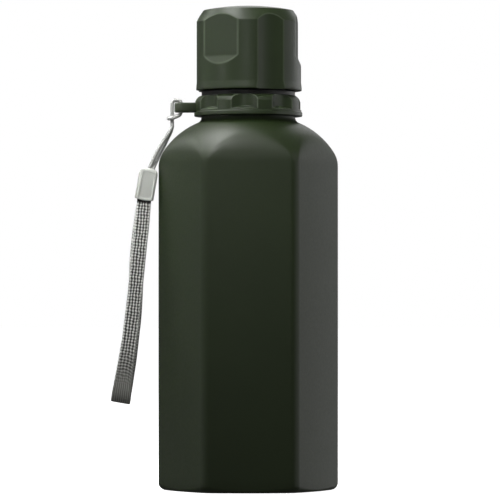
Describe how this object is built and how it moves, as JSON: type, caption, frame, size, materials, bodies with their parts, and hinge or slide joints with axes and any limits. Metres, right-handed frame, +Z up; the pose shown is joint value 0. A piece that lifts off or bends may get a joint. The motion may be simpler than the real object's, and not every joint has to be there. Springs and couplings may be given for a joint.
{
  "type": "canteen",
  "caption": "Six-sided vacuum-walled canteen with a grooved screw cap, a screw-on mouthpiece ring and a wrist strap hanging from the ring's eye.",
  "frame": {"origin": "middle of the base, on the surface that the canteen stands on", "axes": "+Z up along the bottle's axis, -Y towards the front flat of the body, the strap eye on -X"},
  "size_m": [0.0987, 0.0688, 0.2101],
  "materials": {
    "olive_coat": "matte",
    "olive_plastic": "satin",
    "steel": "satin",
    "dark_plastic": "satin",
    "silicone": "matte",
    "foam": "matte",
    "cord_grey": "matte",
    "webbing_grey": "matte",
    "clasp_grey": "satin"
  },
  "bodies": {
    "bottle": {"outer_shell": "olive_coat", "inner_flask": "steel", "base_plate": "steel", "getter_cup": "steel"},
    "mouthpiece_seal": {"mouthpiece_gasket": "silicone"},
    "mouthpiece": {"mouthpiece": "dark_plastic", "collar_ring": "olive_plastic", "strap_hitch": "cord_grey"},
    "cap_seal": {"cap_gasket": "silicone"},
    "cap": {"cap_shell": "olive_plastic", "cap_liner": "dark_plastic", "cap_insulation": "foam"},
    "strap": {"strap_cord": "cord_grey", "clasp_housing": "clasp_grey", "clasp_crimp": "steel", "strap_webbing": "webbing_grey"}
  },
  "joints": [
    {"name": "mouthpiece_lift", "type": "slide", "parent": "bottle", "child": "mouthpiece_seal", "axis": [0, 0, 1], "range_m": [0, 0.00601]},
    {"name": "mouthpiece_turn", "type": "hinge", "parent": "mouthpiece_seal", "child": "mouthpiece", "pos_m": [0, 0, 0.17], "axis": [0, 0, 1], "range_deg": [0, 540]},
    {"name": "cap_lift", "type": "slide", "parent": "mouthpiece", "child": "cap_seal", "axis": [0, 0, 1], "range_m": [0, 0.00801]},
    {"name": "cap_turn", "type": "hinge", "parent": "cap_seal", "child": "cap", "pos_m": [0, 0, 0.193], "axis": [0, 0, 1], "range_deg": [0, 720]},
    {"name": "strap_swing", "type": "hinge", "parent": "mouthpiece", "child": "strap", "pos_m": [-0.0331, 0, 0.1606], "axis": [0, 1, 0], "range_deg": [0, 120]}
  ],
  "couplings": [
    {"joint": "mouthpiece_lift", "follows": "mouthpiece_turn", "m_per_rad": 0.00063662},
    {"joint": "cap_lift", "follows": "cap_turn", "m_per_rad": 0.00063662}
  ]
}
